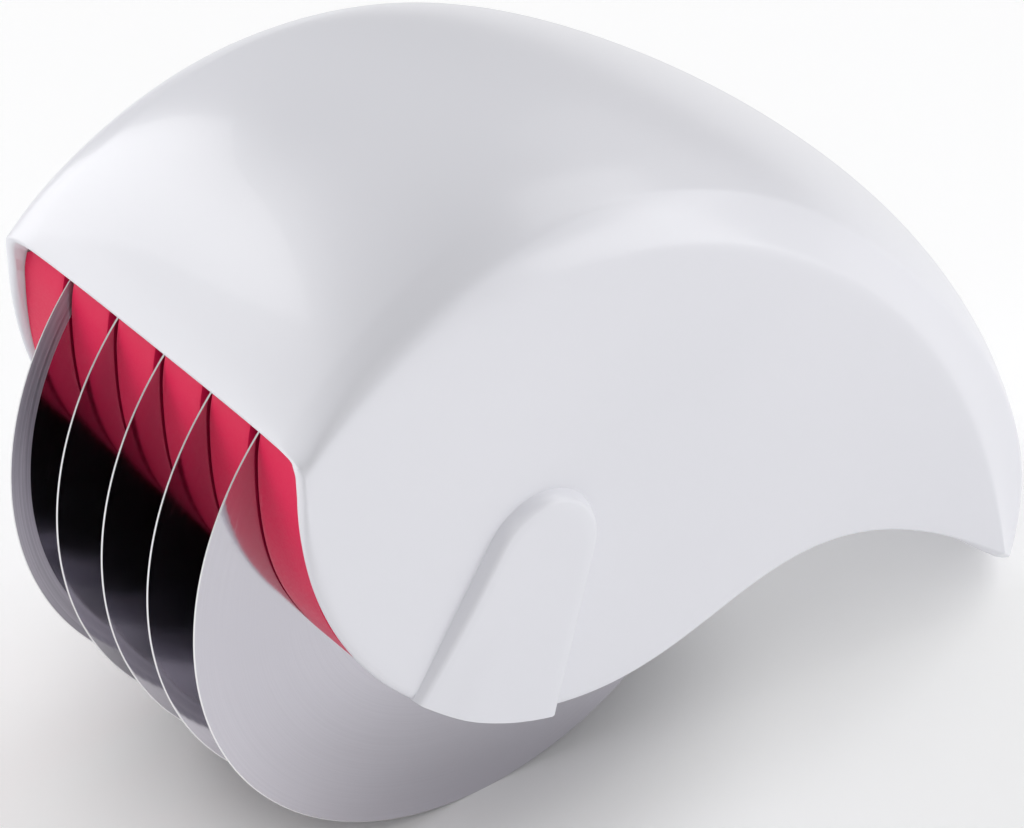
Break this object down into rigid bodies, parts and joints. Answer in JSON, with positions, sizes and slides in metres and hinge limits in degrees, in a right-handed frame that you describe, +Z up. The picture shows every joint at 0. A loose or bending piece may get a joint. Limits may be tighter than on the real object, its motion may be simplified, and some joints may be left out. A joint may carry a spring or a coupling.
{
  "type": "rolling herb cutter",
  "caption": "Palm-held herb cutter: a white domed housing with a curled tail over a roller of round steel blades, with a red stripper comb in its front opening.",
  "frame": {"origin": "centre of the part's footprint, on the surface that the blades and the tail stand on", "axes": "+X along the axle, +Y from the blades to the tail, +Z up"},
  "size_m": [0.068, 0.1354, 0.096],
  "materials": {
    "white_gloss": "gloss white moulding",
    "red_plastic": "satin crimson moulding",
    "blade_steel": "fine satin, ground on one face",
    "plain_steel": "plain",
    "grey_plastic": "natural light grey"
  },
  "bodies": {
    "housing": {"housing": "white_gloss", "stripper_comb": "red_plastic"},
    "carriage": {"bearing_shoe_left": "grey_plastic", "bearing_shoe_right": "grey_plastic"},
    "roller": {"axle": "plain_steel", "blade_1": "blade_steel", "blade_2": "blade_steel", "blade_3": "blade_steel", "blade_4": "blade_steel", "blade_5": "blade_steel", "spacer_1": "grey_plastic", "spacer_2": "grey_plastic", "spacer_3": "grey_plastic", "spacer_4": "grey_plastic", "clamp_washer_left": "plain_steel", "clamp_washer_right": "plain_steel", "clamp_nut_left": "plain_steel", "clamp_nut_right": "plain_steel", "axle_clip_left": "plain_steel", "axle_clip_right": "plain_steel"}
  },
  "joints": [
    {"name": "roller_release", "type": "slide", "parent": "housing", "child": "carriage", "axis": [0, -0.402, -0.9157], "range_m": [0, 0.06]},
    {"name": "roller_spin", "type": "hinge", "parent": "carriage", "child": "roller", "pos_m": [0, -0.02376, 0.04394], "axis": [1, 0, 0], "continuous": true}
  ]
}
